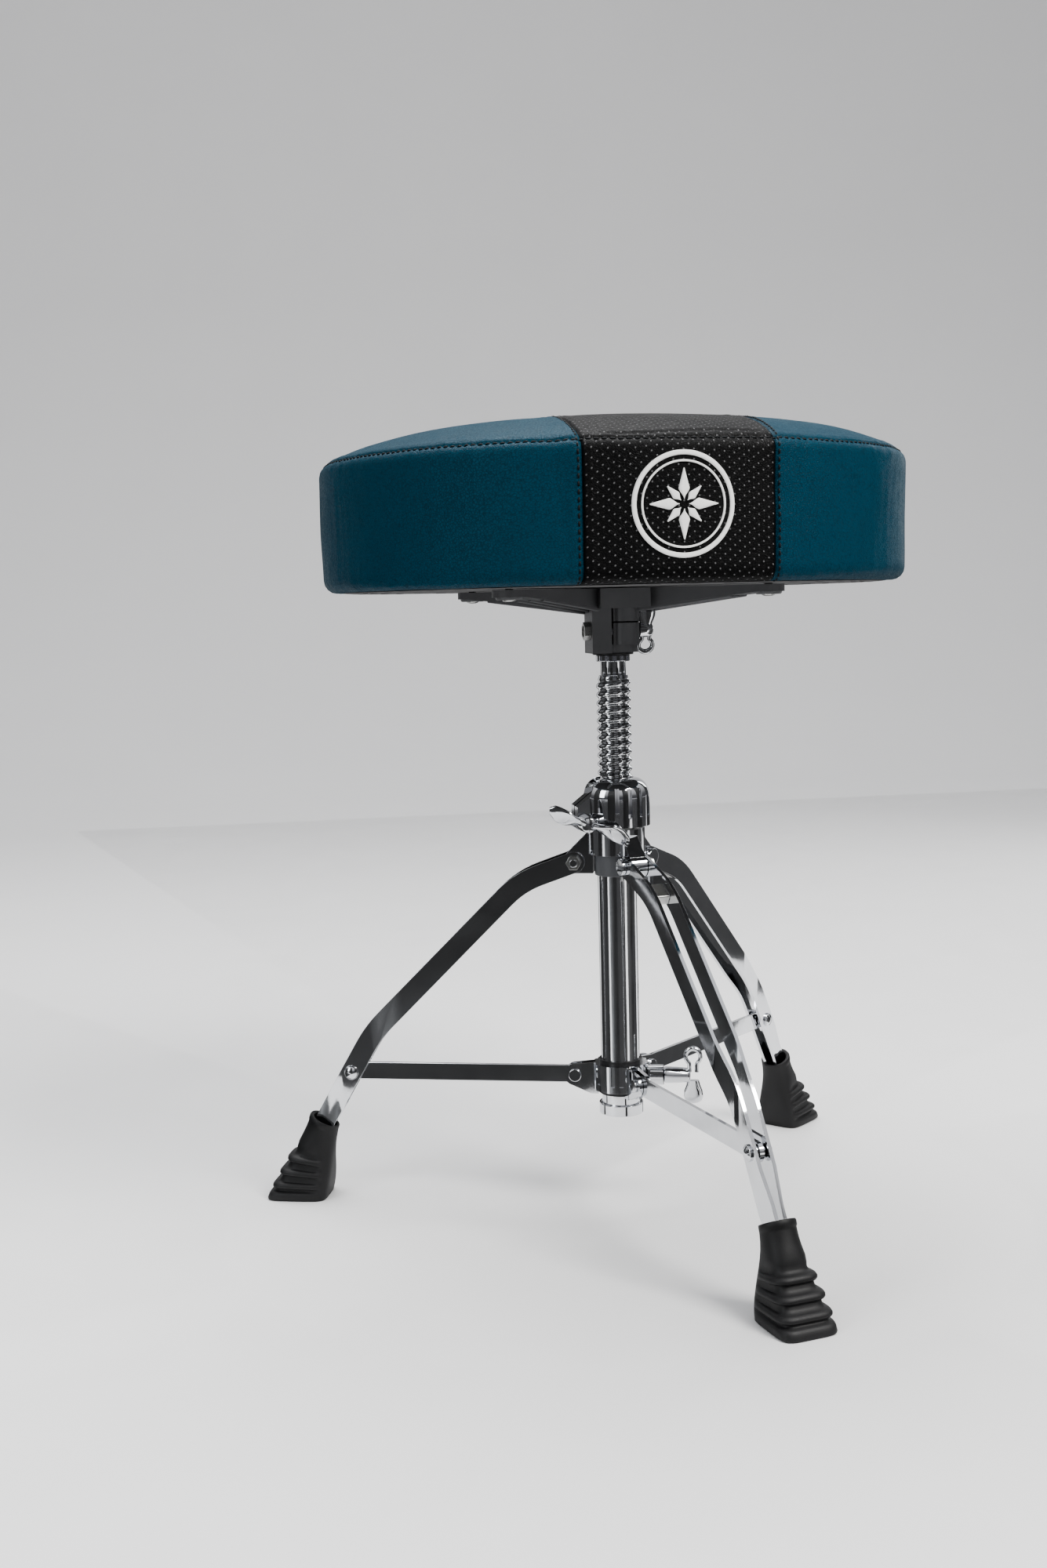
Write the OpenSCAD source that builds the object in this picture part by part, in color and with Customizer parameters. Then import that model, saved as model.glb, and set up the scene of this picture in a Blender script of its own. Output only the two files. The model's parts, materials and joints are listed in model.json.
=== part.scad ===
// Drum throne: a thick round seat on a threaded spindle, carried by a folding
// tripod with three double-strip legs. Millimetres, +Z up. The origin lies on
// the axis of the post at floor level, and the front of the seat faces -Y.

/* [Seat] */
// Diameter of the padded seat
seat_d = 420; // [414:1:430]
// Height of the seat's side wall, from the underside to the top seam
wall_h = 90; // [84:1:96]
// Rise of the crowned top above the seam
crown_h = 25; // [20:1:34]
// Width of the perforated band that runs from front to back
band_w = 122; // [90:1:140]
// Thickness of the cover with its wadding
cover_t = 5; // [3:0.5:7]

/* [Post] */
// Height of the seat's underside above the floor
seat_z = 460; // [456:1:466]
// Outer diameter of the base tube
tube_d = 28.6; // [28.4:0.1:29]
// Wall thickness of the base tube
tube_wall = 1.2; // [1:0.1:1.3]
// Outer diameter of the spindle's thread
spindle_d = 25.4; // [25:0.1:25.6]
// Pitch of the spindle's thread
thread_pitch = 6.35; // [5:0.05:7]

/* [Legs] */
// Compass heading of the front leg, counted from +X towards +Y
leg_heading = -77.6; // [-90:0.1:-60]
// Width of a leg strip, seen from the side
strip_w = 15.5; // [13:0.5:17]
// Thickness of a leg strip
strip_t = 2.6; // [2:0.1:3]
// Distance between the middles of a leg's two strips, at the top
strip_gap = 16; // [15.4:0.1:17]
// Width of a strut
strut_w = 13.5; // [11:0.5:15]
// Thickness of a strut
strut_t = 3; // [2.4:0.1:3.2]

/* [Collars] */
// Diameter of the fluted upper clamp
clamp_d = 50; // [48:1:52]
// Diameter of the ring that carries the legs
leg_ring_d = 42; // [41:0.5:43]
// Diameter of the sliding lower collar
slider_d = 41; // [40:0.5:43]

/* [Hidden] */
LEGS = ["front", "right", "left"];
$fn = 64;
eps = 0.01;

// Heights along the post
tube_bottom_z = 70;
tube_top_z = 290;
clamp_z = 287;
clamp_h = 35;
leg_ring_z = 266;
leg_ring_h = 19;
sleeve_h = 17;
nut_top_z = 316;
nut_d = 34;
ring_top_z = 412;
hub_bottom_z = 414;
plate_bottom_z = 446;
tube_bore_d = tube_d - 2 * tube_wall;

// Leg centreline: straight, bend, straight, bend, straight
pivot_r = 31;
pivot_z = 260;
pivot_d = 6;
top_dip = -20;
mid_dip = -45;
end_dip = -60;
top_run = 28;
top_bend = 70;
mid_run = 134.5;
low_bend = 100;
rivet_run = 23;
end_run = 90;
foot_pocket = 22;
sole_r = 250;
sole_len = 48;
sole_w = 41;
sole_corner = 6;

function heading(a) = [cos(a), sin(a)];
function left_of(a) = [-sin(a), cos(a)];
function steps(a, b, n) = [for (i = [0:n]) a + (b - a) * i / n];

bend_1_start = [pivot_r, pivot_z] + top_run * heading(top_dip);
bend_1_centre = bend_1_start - top_bend * left_of(top_dip);
bend_2_start = bend_1_centre + top_bend * left_of(mid_dip) + mid_run * heading(mid_dip);
bend_2_centre = bend_2_start - low_bend * left_of(mid_dip);
bend_2_end = bend_2_centre + low_bend * left_of(end_dip);
rivet = bend_2_end + rivet_run * heading(end_dip);
leg_end = bend_2_end + end_run * heading(end_dip);
pocket_start = leg_end - foot_pocket * heading(end_dip);

// One long edge of a leg strip, at distance d to the left of its centreline
function leg_edge(d) = concat(
    [[pivot_r, pivot_z] + d * left_of(top_dip)],
    [for (a = steps(top_dip, mid_dip, 6)) bend_1_centre + (top_bend + d) * left_of(a)],
    [for (a = steps(mid_dip, end_dip, 5)) bend_2_centre + (low_bend + d) * left_of(a)],
    [leg_end + d * left_of(end_dip)]
);
function reversed(v) = [for (i = [len(v) - 1:-1:0]) v[i]];
function ease(t) = let (u = min(max(t, 0), 1)) u * u * (3 - 2 * u);

// Half the distance between a leg's strips, at a distance r from the post
rivet_gap = 10.6;
end_gap = 6;
function strip_offset(r) = strip_gap / 2
    - (strip_gap - rivet_gap) / 2 * ease((r - 162) / 28)
    - (rivet_gap - end_gap) / 2 * ease((r - 216) / 16);

// Lower collar and its struts
slider_z = rivet[1];
slider_h = 20;
liner_d = 32;
strut_pivot_r = 34;
strut_pin_d = 5;
strut_bush_w = 6.6;

// Upper clamp bolt, which runs along -Y beside the post
clamp_bolt_x = -26;
clamp_bolt_z = 291;
clamp_bolt_d = 8;

// Lower wing bolt, which points between the front and right legs
slider_bolt_heading = leg_heading + 60;

// Hub clamp bolt, which runs along +X in front of the spindle
hub_bolt_y = -25;
hub_bolt_z = 430;
hub_pin_d = 22;
hub_d = 39;

// Spindle
thread_top_z = 400;
thread_bottom_z = 218;
thread_root_d = 21.6;
journal_d = 19.8;
journal_z = 190;
ridge_count = floor((thread_top_z - thread_bottom_z) / thread_pitch);

// Seat
screw_pitch = 180;
arm_reach = 138;
ply_t = 12;
lip_t = 2.6;
seat_r = seat_d / 2;
crown_power = 3.4;

// ---------------------------------------------------------------- helpers

// Lays a drawing of (distance from the post, height) into a vertical plane
module upright(width) {
    rotate([90, 0, 0]) linear_extrude(height = width, center = true) children();
}

// A cylinder across the leg's plane, centred on it
module cross_pin(r, z, d, width) {
    translate([r, 0, z]) rotate([90, 0, 0]) cylinder(d = d, h = width, center = true);
}

module at_leg(i) {
    rotate([0, 0, leg_heading + 120 * i]) children();
}

module at_every_leg() {
    for (i = [0:2]) at_leg(i) children();
}

module ring(outer_d, inner_d, z, h) {
    translate([0, 0, z]) difference() {
        cylinder(d = outer_d, h = h);
        translate([0, 0, -1]) cylinder(d = inner_d, h = h + 2);
    }
}

// A bolt shank with two flat wings; it points along +Z and its tip is at 0
module wing_bolt(shank_d, shank_h, boss_d, boss_h, wing_z, wing_t, span, wing_w) {
    cylinder(d = shank_d, h = shank_h + eps);
    translate([0, 0, shank_h]) cylinder(d = boss_d, h = boss_h);
    translate([0, 0, wing_z]) linear_extrude(height = wing_t) {
        square([span - wing_w, wing_w * 0.62], center = true);
        for (side = [-1, 1])
            translate([side * (span - wing_w) / 2, 0]) circle(d = wing_w);
    }
}

// ------------------------------------------------------------------- base

module base_tube() {
    color([0.72, 0.73, 0.75]) ring(tube_d, tube_bore_d, tube_bottom_z + 2, tube_top_z - tube_bottom_z - 2);
}

module tube_end_cap() {
    color([0.7, 0.71, 0.73]) {
        ring(tube_d + 4.4, tube_d, tube_bottom_z, 8);
        ring(tube_d + 4.4, 14, tube_bottom_z, 2);
    }
}

module height_nut() {
    color([0.55, 0.55, 0.56]) difference() {
        union() {
            ring(nut_d, tube_d, leg_ring_z + 1, tube_top_z - leg_ring_z - 1 + eps);
            ring(nut_d, spindle_d + 0.12, tube_top_z, nut_top_z - tube_top_z);
        }
        translate([-nut_d, -1, leg_ring_z + leg_ring_h + 3]) cube([nut_d, 2, 40]);
    }
}

// Ring round the top of the tube, with one thick lug for each leg
module leg_ring() {
    lug_w = strip_gap - strip_t - 0.8;
    color([0.75, 0.76, 0.78]) difference() {
        union() {
            translate([0, 0, leg_ring_z]) cylinder(d = leg_ring_d, h = leg_ring_h);
            at_every_leg() {
                upright(lug_w) polygon([
                    [17.2, leg_ring_z + leg_ring_h - 4],
                    [leg_ring_d / 2 + 1, leg_ring_z + leg_ring_h - 4],
                    [pivot_r + 5, pivot_z + 7],
                    [pivot_r, pivot_z - 8.5],
                    [17.2, pivot_z - 8.5]
                ]);
                cross_pin(pivot_r, pivot_z, 17, lug_w);
            }
        }
        translate([0, 0, leg_ring_z - 30]) cylinder(d = nut_d, h = leg_ring_h + 60);
        at_every_leg() cross_pin(pivot_r, pivot_z, pivot_d, 40);
    }
}

module ring_sleeve() {
    color([0.32, 0.33, 0.35]) ring(nut_d - 1, tube_d, leg_ring_z + 1 - sleeve_h, sleeve_h);
}

// Domed split clamp over the nut: fluted skirt, ears at -X for the wing bolt
module upper_clamp() {
    dome_start = clamp_h - 14;
    color([0.76, 0.77, 0.79]) difference() {
        union() {
            translate([0, 0, clamp_z]) rotate_extrude() polygon(concat(
                [[0, 0], [clamp_d / 2, 0]],
                [for (a = [0:9:72]) [14 + (clamp_d / 2 - 14) * cos(a), dome_start + 14 * sin(a)]],
                [[14.5, clamp_h], [0, clamp_h]]
            ));
            translate([-31, -12, clamp_z - 1]) cube([18, 24, 24]);
        }
        translate([0, 0, clamp_z - 2]) cylinder(d = nut_d, h = nut_top_z - clamp_z + 2.2);
        translate([0, 0, clamp_z]) cylinder(d = spindle_d + 1, h = clamp_h + 1);
        translate([-40, -1.2, clamp_z - 5]) cube([40 - 15, 2.4, clamp_h + 10]);
        translate([clamp_bolt_x, 0, clamp_bolt_z]) rotate([90, 0, 0]) {
            cylinder(d = clamp_bolt_d + 0.12, h = 60, center = true);
            for (z = [12, -32]) translate([0, 0, z]) cylinder(d = 14, h = 20);
        }
        for (a = [-100:22.5:145]) rotate([0, 0, a]) translate([clamp_d / 2 - 1.6, 0, clamp_z + 8]) {
            translate([0, -1.5, 0]) cube([6, 3, clamp_h]);
            rotate([0, 90, 0]) cylinder(d = 3, h = 6);
        }
        translate([-35, -13, clamp_z + 12]) rotate([0, -38, 0]) cube([40, 26, 22]);
    }
}

module upper_clamp_nut() {
    color([0.6, 0.6, 0.62]) translate([clamp_bolt_x, 12, clamp_bolt_z]) rotate([-90, 0, 0])
        difference() {
            cylinder(d = 13, h = 6, $fn = 6);
            translate([0, 0, -1]) cylinder(d = clamp_bolt_d + 0.12, h = 9);
        }
}

module leg_pivot_bolts() {
    color([0.68, 0.69, 0.71]) at_every_leg() {
        reach = strip_gap / 2 + strip_t / 2;
        translate([pivot_r, 0, pivot_z]) rotate([90, 0, 0]) {
            translate([0, 0, -reach - 5]) cylinder(d = pivot_d, h = 2 * reach + 5);
            translate([0, 0, reach + 0.2]) cylinder(d = 12, h = 3);
            translate([0, 0, reach - 1]) cylinder(d = pivot_d, h = 2);
        }
    }
}

module leg_pivot_nuts() {
    color([0.6, 0.61, 0.63]) at_every_leg() {
        reach = strip_gap / 2 + strip_t / 2;
        translate([pivot_r, reach + 0.2, pivot_z]) rotate([-90, 0, 0]) difference() {
            cylinder(d = 11.5, h = 4.4, $fn = 6);
            translate([0, 0, -1]) cylinder(d = pivot_d, h = 8);
        }
    }
}

module upper_wing_bolt() {
    color([0.8, 0.81, 0.83]) translate([clamp_bolt_x, 20, clamp_bolt_z]) rotate([90, 0, 0])
        rotate([0, 0, -18]) wing_bolt(clamp_bolt_d, 33, 13, 15.5, 47.6, 3.4, 62, 14);
}

// ----------------------------------------------------------- lower collar

// Sliding collar: fluted ring, a pair of cheeks for each strut, bolt boss
module lower_collar() {
    cheek_w = 2.8;
    cheek_gap = strut_t + 0.6;
    boss_reach = 32;
    color([0.74, 0.75, 0.77]) difference() {
        union() {
            translate([0, 0, slider_z - slider_h / 2]) cylinder(d = slider_d, h = slider_h);
            at_every_leg() for (side = [-1, 1])
                translate([0, side * (cheek_gap + cheek_w) / 2, 0]) {
                    upright(cheek_w) polygon([
                        [16.5, slider_z + 9.5], [22, slider_z + 9.5], [strut_pivot_r, slider_z + 8],
                        [strut_pivot_r + 4, slider_z - 6.9], [22, slider_z - 14], [16.5, slider_z - 14]
                    ]);
                    cross_pin(strut_pivot_r, slider_z, 16, cheek_w);
                }
            rotate([0, 0, slider_bolt_heading]) translate([0, 0, slider_z])
                rotate([0, 90, 0]) cylinder(d = 15, h = boss_reach);
        }
        translate([0, 0, slider_z - 40]) cylinder(d = liner_d, h = 80);
        at_every_leg() {
            cross_pin(strut_pivot_r, slider_z, strut_pin_d, 30);
            translate([slider_d / 2 - 1.4, -cheek_gap / 2, slider_z - 20]) cube([40, cheek_gap, 40]);
        }
        rotate([0, 0, slider_bolt_heading]) translate([0, 0, slider_z])
            rotate([0, 90, 0]) cylinder(d = clamp_bolt_d + 0.12, h = 60);
        for (i = [0:2]) at_leg(i) for (a = [24, 42, 78, 96])
            rotate([0, 0, a]) translate([slider_d / 2 - 1.2, -1.5, slider_z - 5]) cube([4, 3, 30]);
    }
}

module collar_liner() {
    color([0.16, 0.16, 0.17]) difference() {
        ring(liner_d, tube_d + 0.16, slider_z - slider_h / 2 - 3, slider_h + 6);
        rotate([0, 0, slider_bolt_heading]) translate([0, 0, slider_z])
            rotate([0, 90, 0]) cylinder(d = clamp_bolt_d + 0.12, h = 60);
    }
}

module strut_pivot_pins() {
    color([0.68, 0.69, 0.71]) at_every_leg() {
        cross_pin(strut_pivot_r, slider_z, strut_pin_d, strut_t + 7);
        for (side = [-1, 1]) translate([strut_pivot_r, side * (strut_t / 2 + 4.1), slider_z])
            rotate([90, 0, 0]) cylinder(d = 9.5, h = 1.8, center = true);
    }
}

module lower_wing_bolt() {
    color([0.8, 0.81, 0.83]) rotate([0, 0, slider_bolt_heading])
        translate([tube_d / 2 + 0.4, 0, slider_z]) rotate([0, 90, 0])
            wing_bolt(clamp_bolt_d, 18, 12.5, 17, 36, 10, 43, 13);
}

// ------------------------------------------------------------------- legs

// One of the two bent strips of a leg, on the side given by +1 or -1
module leg_strip(side) {
    stations = [for (i = [0:36]) 20 + 6 * i];
    color([0.78, 0.79, 0.81]) difference() {
        intersection() {
            upright(60) {
                polygon(concat(leg_edge(strip_w / 2), reversed(leg_edge(-strip_w / 2))));
                translate([pivot_r, pivot_z]) circle(d = strip_w);
            }
            translate([0, 0, 20]) linear_extrude(height = 280) polygon(concat(
                [for (r = stations) [r, side * (strip_offset(r) + strip_t / 2)]],
                reversed([for (r = stations) [r, side * (strip_offset(r) - strip_t / 2)]])
            ));
        }
        cross_pin(pivot_r, pivot_z, pivot_d + 0.12, 60);
        cross_pin(rivet[0], rivet[1], pivot_d, 60);
    }
}

// Block that holds the two strips apart at the upper bend
module leg_spacer() {
    color([0.6, 0.61, 0.63]) translate([bend_1_start[0] + 9, 0, bend_1_start[1] - 6]) rotate([0, 32, 0])
        cube([14, strip_gap - strip_t, 8], center = true);
}

// Rivet heads outside the two strips; their shanks end inside the strips
module leg_rivet() {
    color([0.7, 0.71, 0.73]) for (side = [-1, 1])
        translate([rivet[0], side * rivet_gap / 2, rivet[1]]) rotate([side * -90, 0, 0]) {
            translate([0, 0, -strip_t / 2]) cylinder(d = pivot_d, h = strip_t + eps);
            translate([0, 0, strip_t / 2]) cylinder(d = 11, h = 1.4);
            translate([0, 0, strip_t / 2 + 1.4]) intersection() {
                translate([0, 0, -6]) sphere(r = 7.6);
                cylinder(d = 11, h = 3);
            }
        }
}

// Rubber boot: a round mouth for the strips, flaring to a rectangular sole
module rubber_foot() {
    color([0.06, 0.06, 0.065]) difference() {
        hull($fn = 32) {
            translate([pocket_start[0] + 1, 0, pocket_start[1]]) rotate([0, end_dip / 2, 0])
                cylinder(d = 26, h = 1);
            translate([sole_r, 0, 0]) linear_extrude(height = 6) offset(r = sole_corner)
                square([sole_len - 2 * sole_corner, sole_w - 2 * sole_corner], center = true);
        }
        translate([pocket_start[0], 0, pocket_start[1]]) rotate([0, -end_dip, 0])
            translate([-12, -strip_gap / 2 + 1.4, -strip_w / 2])
                cube([12 + foot_pocket, strip_gap - 2.8, strip_w]);
    }
}

module strut() {
    color([0.76, 0.77, 0.79]) difference() {
        union() {
            translate([strut_pivot_r, -strut_t / 2, slider_z - strut_w / 2])
                cube([rivet[0] - strut_pivot_r, strut_t, strut_w]);
            cross_pin(strut_pivot_r, slider_z, strut_w, strut_t);
            cross_pin(rivet[0], slider_z, strut_w, strut_t);
        }
        cross_pin(strut_pivot_r, slider_z, strut_pin_d + 0.12, 20);
        cross_pin(rivet[0], slider_z, 6.4, 20);
    }
}

module strut_bush() {
    color([0.7, 0.71, 0.73]) difference() {
        union() {
            cross_pin(rivet[0], slider_z, 6.4, strut_bush_w);
            for (side = [-1, 1]) translate([rivet[0], side * (strut_t / 2 + 0.9), slider_z])
                rotate([90, 0, 0]) cylinder(d = 10.4, h = 1.8, center = true);
        }
        cross_pin(rivet[0], slider_z, 3.2, 20);
    }
}

// ---------------------------------------------------------------- spindle

// Plastic bush that rides in the tube and turns on the spindle's lower end
module guide_bush() {
    color([0.12, 0.12, 0.13]) ring(tube_bore_d - 0.14, journal_d + 0.12, journal_z + 4, 22);
}

module spindle() {
    color([0.8, 0.81, 0.83]) {
        translate([0, 0, journal_z]) cylinder(d = journal_d, h = thread_bottom_z - journal_z + eps);
        translate([0, 0, thread_bottom_z]) rotate_extrude() polygon(concat(
            [[0, 0]],
            [for (i = [0:ridge_count - 1]) each [
                [thread_root_d / 2, thread_pitch * (i + 0.15)],
                [spindle_d / 2, thread_pitch * (i + 0.42)],
                [spindle_d / 2, thread_pitch * (i + 0.66)],
                [thread_root_d / 2, thread_pitch * (i + 0.93)]
            ]],
            [[0, thread_pitch * ridge_count]]
        ));
        translate([0, 0, thread_top_z - thread_pitch]) cylinder(d = 19, h = 14);
        translate([0, 0, ring_top_z - 4.6]) cylinder(d = 25, h = 4.6);
        translate([0, 0, ring_top_z - eps]) cylinder(d = hub_pin_d, h = 36);
    }
}

module spindle_clip() {
    color([0.4, 0.4, 0.42]) ring(25, journal_d, journal_z + 1.4, 2);
}

// -------------------------------------------------------------------- hub

// Cast plate with four tapering arms, a central rib and a split socket
module hub_casting() {
    arm_w = 26;
    plate_h = seat_z - plate_bottom_z;
    color([0.45, 0.46, 0.47]) difference() {
        union() {
            for (a = [45:90:315]) rotate([0, 0, a]) {
                upright(arm_w) polygon([
                    [0, plate_bottom_z], [24, plate_bottom_z],
                    [arm_reach - 12, seat_z - 5], [arm_reach - 12, seat_z], [0, seat_z]
                ]);
                translate([arm_reach - 13, 0, seat_z - 5]) cylinder(d = arm_w, h = 5);
            }
            translate([-18, -45, plate_bottom_z]) cube([36, 90, plate_h]);
            translate([0, 0, hub_bottom_z]) cylinder(d = hub_d, h = plate_bottom_z - hub_bottom_z + eps);
            translate([-22, -34, hub_bottom_z]) cube([14, 28, plate_bottom_z - hub_bottom_z + eps]);
            translate([-6, -30, hub_bottom_z + 6]) cube([19, 24, plate_bottom_z - hub_bottom_z - 6 + eps]);
            translate([3.5, -24.5, hub_bottom_z + 6]) cylinder(r = 9.5, h = plate_bottom_z - hub_bottom_z - 6);
        }
        translate([0, 0, hub_bottom_z - 1]) cylinder(d = hub_pin_d + 3, h = 39);
        translate([-8, -40, hub_bottom_z - 1]) cube([2, 34, plate_bottom_z - hub_bottom_z + 1]);
        translate([-7, -40, hub_bolt_z + 5.5]) cube([30, 34, 1]);
        translate([-40, hub_bolt_y, hub_bolt_z]) rotate([0, 90, 0])
            cylinder(d = clamp_bolt_d + 0.12, h = 80);
        for (x = [-1, 1], y = [-1, 1])
            translate([x * screw_pitch / 2, y * screw_pitch / 2, seat_z - 6]) {
                cylinder(d = 6, h = 8);
                translate([0, 0, -10]) cylinder(d = 12.5, h = 11);
            }
    }
}

module hub_bushing() {
    color([0.1, 0.1, 0.11]) {
        ring(hub_pin_d + 3, hub_pin_d + 0.12, hub_bottom_z, 35);
        ring(30, hub_pin_d + 0.12, hub_bottom_z - 1.8, 1.8 + eps);
    }
}

module hub_clamp_nut() {
    color([0.6, 0.6, 0.62]) translate([-22, hub_bolt_y, hub_bolt_z]) rotate([0, -90, 0])
        difference() {
            cylinder(d = 13, h = 5, $fn = 6);
            translate([0, 0, -1]) cylinder(d = clamp_bolt_d + 0.12, h = 8);
        }
}

module hub_wing_bolt() {
    color([0.8, 0.81, 0.83]) translate([-25, hub_bolt_y, hub_bolt_z]) rotate([0, 90, 0])
        rotate([0, 0, 12]) wing_bolt(clamp_bolt_d, 38.4, 11, 10, 44, 8, 29, 11);
}

module plate_screws() {
    color([0.62, 0.63, 0.65]) for (x = [-1, 1], y = [-1, 1])
        translate([x * screw_pitch / 2, y * screw_pitch / 2, seat_z - 8.2]) {
            cylinder(d = 11, h = 3.2);
            cylinder(d = 6, h = 22);
        }
}

// ------------------------------------------------------------------- seat

module tee_nuts() {
    color([0.7, 0.68, 0.6]) for (x = [-1, 1], y = [-1, 1])
        translate([x * screw_pitch / 2, y * screw_pitch / 2, seat_z + 1 + lip_t]) {
            ring(8.4, 6, 1, ply_t - 1);
            ring(18, 6, ply_t, 1.6);
        }
}

module plywood_base() {
    z = seat_z + 1 + lip_t;
    color([0.76, 0.6, 0.4]) difference() {
        translate([0, 0, z]) cylinder(r = seat_r - cover_t - 4, h = ply_t);
        for (x = [-1, 1], y = [-1, 1])
            translate([x * screw_pitch / 2, y * screw_pitch / 2, z - 1]) cylinder(d = 8.4, h = ply_t + 2);
    }
}

module underside_cloth() {
    color([0.05, 0.05, 0.05]) difference() {
        translate([0, 0, seat_z]) cylinder(r = seat_r - 16, h = 1);
        for (x = [-1, 1], y = [-1, 1])
            translate([x * screw_pitch / 2, y * screw_pitch / 2, seat_z - 1]) cylinder(d = 6, h = 3);
    }
}

// Half outline of the upholstered body, shrunk by d on every side
function seat_outline(d) = let (
    bottom_r = 9, top_r = 13, r = seat_r - d, top = seat_z + wall_h - d
) concat(
    [for (a = [-90:15:0])
        [r - 2 - bottom_r + bottom_r * cos(a), seat_z + 1 + d + bottom_r + bottom_r * sin(a)]],
    [[r, seat_z + wall_h * 0.5]],
    [for (a = [0:11:44]) [r - 1 - top_r + top_r * cos(a), top - 10 + top_r * sin(a)]],
    [for (t = [0.9:-0.1:0]) [(r - 6) * t, top + crown_h * pow(1 - pow(t, crown_power), 0.8)]]
);

module seat_solid(d) {
    rotate_extrude($fn = 128) polygon(concat([[0, seat_z + 1 + d]], seat_outline(d)));
}

// Cover skin: the outer shape less its inside, with a lip under the base
module cover_shell() {
    difference() {
        seat_solid(0);
        difference() {
            seat_solid(cover_t);
            translate([0, 0, seat_z]) cylinder(r = seat_r + 9, h = 1 + lip_t);
        }
        translate([0, 0, seat_z + lip_t + 1]) cylinder(r = seat_r - cover_t - 4, h = ply_t);
        translate([0, 0, seat_z - 1]) cylinder(r = seat_r - 30, h = ply_t);
    }
}

module foam_pad() {
    color([0.85, 0.82, 0.7]) difference() {
        seat_solid(cover_t + 0.3);
        translate([0, 0, seat_z]) cylinder(r = seat_r, h = 1 + lip_t + ply_t);
        for (x = [-1, 1], y = [-1, 1])
            translate([x * screw_pitch / 2, y * screw_pitch / 2, seat_z]) cylinder(d = 19, h = 30);
    }
}

module cover_side_panel(side) {
    color([0.03, 0.33, 0.42]) intersection() {
        cover_shell();
        translate([side > 0 ? band_w / 2 : -seat_d - band_w / 2, -seat_d, seat_z])
            cube([seat_d, 2 * seat_d, 200]);
    }
}

module cover_band() {
    color([0.07, 0.07, 0.075]) intersection() {
        cover_shell();
        translate([-band_w / 2, -seat_d, seat_z]) cube([band_w, 2 * seat_d, 200]);
    }
}

base_tube();
tube_end_cap();
height_nut();
leg_ring();
ring_sleeve();
upper_clamp();
upper_clamp_nut();
leg_pivot_bolts();
leg_pivot_nuts();
upper_wing_bolt();
lower_collar();
collar_liner();
strut_pivot_pins();
lower_wing_bolt();
for (i = [0:2]) {
    at_leg(i) leg_strip(-1);
    at_leg(i) leg_strip(1);
    at_leg(i) leg_spacer();
    at_leg(i) leg_rivet();
    at_leg(i) rubber_foot();
    at_leg(i) strut();
    at_leg(i) strut_bush();
}
guide_bush();
spindle();
spindle_clip();
hub_casting();
hub_bushing();
hub_clamp_nut();
hub_wing_bolt();
plate_screws();
tee_nuts();
plywood_base();
underside_cloth();
foam_pad();
cover_side_panel(-1);  // cover_left_panel
cover_side_panel(1);  // cover_right_panel
cover_band();
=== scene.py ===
import json
import math

import bmesh
import bpy
import numpy as np
from mathutils import Matrix, Vector, noise

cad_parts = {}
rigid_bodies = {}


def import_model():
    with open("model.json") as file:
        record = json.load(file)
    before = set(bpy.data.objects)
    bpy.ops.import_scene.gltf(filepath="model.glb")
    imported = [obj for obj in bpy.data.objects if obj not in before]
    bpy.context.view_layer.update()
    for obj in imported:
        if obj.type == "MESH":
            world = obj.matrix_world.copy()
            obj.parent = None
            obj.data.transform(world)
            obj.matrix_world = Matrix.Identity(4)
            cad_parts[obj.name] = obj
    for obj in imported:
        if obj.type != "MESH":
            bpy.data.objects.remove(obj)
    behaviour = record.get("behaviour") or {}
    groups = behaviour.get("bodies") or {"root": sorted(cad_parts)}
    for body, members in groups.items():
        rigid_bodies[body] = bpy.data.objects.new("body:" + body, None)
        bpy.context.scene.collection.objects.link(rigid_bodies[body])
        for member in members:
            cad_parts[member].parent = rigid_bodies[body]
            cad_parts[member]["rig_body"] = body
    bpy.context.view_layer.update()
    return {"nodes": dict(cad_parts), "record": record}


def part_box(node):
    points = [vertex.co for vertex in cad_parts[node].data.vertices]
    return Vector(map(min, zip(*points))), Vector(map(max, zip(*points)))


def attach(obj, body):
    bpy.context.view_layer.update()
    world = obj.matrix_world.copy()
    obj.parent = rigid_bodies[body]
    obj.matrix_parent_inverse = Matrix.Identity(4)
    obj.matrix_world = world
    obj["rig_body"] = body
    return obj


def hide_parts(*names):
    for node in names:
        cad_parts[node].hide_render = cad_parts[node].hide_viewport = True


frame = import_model()
MM = 0.001
LEGS = ("front", "right", "left")
UP = Vector((0, 0, 1))

# The camera: place in metres, then yaw, pitch and roll in degrees, and the lens
CAMERA_PLACE = (-0.2727, -1.2379, 0.4502)
CAMERA_ANGLES = (9.365, 5.934, -1.4)
CAMERA_LENS = 39.68

# Measures of the CAD part, in millimetres, and the front leg's heading in degrees
SEAT_R = -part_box("cover_left_panel")[0].x / MM
SEAT_Z = 460.0
SEAM_Z = 550.0
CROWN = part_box("cover_band")[1].z / MM - SEAM_Z
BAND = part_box("cover_band")[1].x / MM
THREAD_PITCH = 6.35
HEADING = -77.6
RIVET_R = 205.365
RIVET_Z = 98.407
SCREW_XY = 90.0
CLOTH_R = 193.6
HUB_BOLT = Vector((-25, -25, 430))
UPPER_BOLT = Vector((-26, 20, 291))

# The boot's mouth and sole in the leg's own plane, and how far the mouth leans in degrees
BOOT_MOUTH = Vector((228.6, 0, 59.6))
BOOT_SOLE = Vector((250.0, 0, 0))
BOOT_TILT = 27.0

# The cover: stitches round the rim, and the band's holes in millimetres
RIM_STITCHES = 260
HOLE_COLUMN, HOLE_ROW, HOLE_R = 6.5, 3.1, 0.62

# The cloth simulation's coarse grid
SIM_ROWS, SIM_SIDES = 46, 132


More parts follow.
